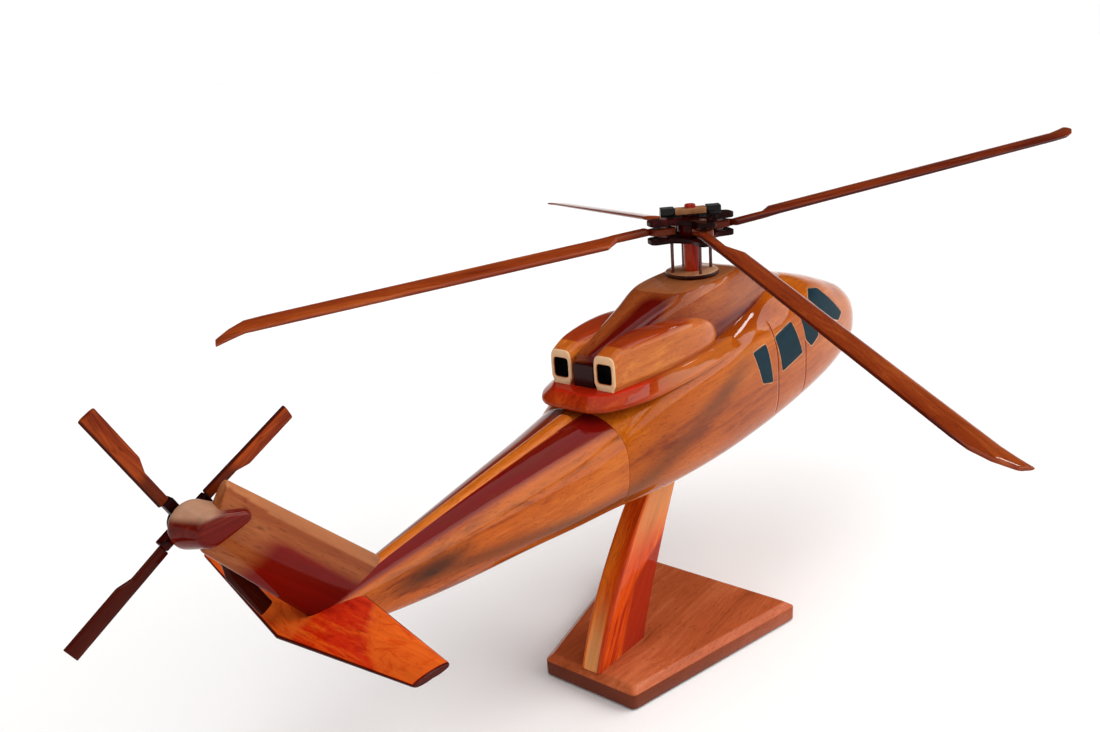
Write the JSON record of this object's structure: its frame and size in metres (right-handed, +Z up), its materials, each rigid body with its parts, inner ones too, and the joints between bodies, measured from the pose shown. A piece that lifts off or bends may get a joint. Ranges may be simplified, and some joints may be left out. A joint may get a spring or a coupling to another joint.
{
  "type": "helicopter scale model",
  "caption": "Lacquered mahogany desktop model of a utility helicopter on a wooden stand, with a main rotor and a tail rotor that turn by hand.",
  "frame": {"origin": "centre of the flat underside of the stand, on the table top", "axes": "+X towards the nose along the stand, +Y to port (the aircraft's left), +Z up"},
  "size_m": [0.466, 0.3453, 0.2186],
  "materials": {
    "base_wood": "high-gloss clear lacquer over dark mahogany",
    "felt": "thin felt pad, guessed",
    "post_wood": "high-gloss clear lacquer over streaked orange mahogany",
    "steel": "plain steel, hidden",
    "body_wood": "high-gloss clear lacquer over mahogany",
    "boom_wood": "high-gloss clear lacquer over mahogany with a dark streak",
    "fin_wood": "high-gloss clear lacquer over brown mahogany",
    "stab_wood": "high-gloss clear lacquer over flecked orange mahogany",
    "liner": "black lacquer",
    "pane": "dark blue gloss enamel on thin inlaid panes",
    "brass": "plain brass, mostly hidden",
    "mast_wood": "high-gloss lacquer over red-brown dowel",
    "dark_wood": "gloss black-brown lacquer on wood",
    "rods": "dark brown enamelled wire",
    "weights": "black enamel",
    "blade_wood": "high-gloss clear lacquer over mahogany",
    "tail_blade_wood": "high-gloss clear lacquer over brown mahogany",
    "cap": "pale pinkish lacquered button"
  },
  "bodies": {
    "airframe": {"stand_base": "base_wood", "base_felt": "felt", "stand_post": "post_wood", "post_screws": "steel", "cabin_body": "body_wood", "tail_boom": "boom_wood", "tail_spine": "boom_wood", "tail_fin": "fin_wood", "stabilator": "stab_wood", "engine_deck": "body_wood", "pylon": "body_wood", "nacelle_stbd": "body_wood", "nacelle_port": "body_wood", "exhaust_liner_stbd": "liner", "exhaust_liner_port": "liner", "rear_vent": "liner", "window_aft_stbd": "pane", "window_aft_port": "pane", "window_mid_stbd": "pane", "window_mid_port": "pane", "window_fwd_stbd": "pane", "window_fwd_port": "pane", "window_cockpit_stbd": "pane", "window_cockpit_port": "pane", "windscreen_stbd": "pane", "windscreen_port": "pane", "mast_bushing": "brass", "tail_gearbox": "body_wood", "tail_bushing": "brass"},
    "main_rotor": {"mast": "mast_wood", "swash_ring": "dark_wood", "pitch_rods": "rods", "hub_plate_lower": "dark_wood", "hub_spacer": "dark_wood", "hub_plate_upper": "dark_wood", "blade_bolts": "rods", "blade_washers": "rods", "main_blade_1": "blade_wood", "main_blade_2": "blade_wood", "main_blade_3": "blade_wood", "main_blade_4": "blade_wood", "absorber_collar": "dark_wood", "absorber_bar": "mast_wood", "absorber_weights": "weights"},
    "tail_rotor": {"tail_pin": "steel", "tail_hub": "dark_wood", "tail_cap": "cap", "tail_blade_1": "tail_blade_wood", "tail_blade_2": "tail_blade_wood", "tail_blade_3": "tail_blade_wood", "tail_blade_4": "tail_blade_wood"}
  },
  "joints": [
    {"name": "main_rotor_spin", "type": "hinge", "parent": "airframe", "child": "main_rotor", "pos_m": [0.039, 0, 0.1919], "axis": [-0.0419, 0, 0.9991], "continuous": true},
    {"name": "tail_rotor_spin", "type": "hinge", "parent": "airframe", "child": "tail_rotor", "pos_m": [-0.21583, 0.008, 0.14899], "axis": [0, 1, 0], "continuous": true}
  ]
}
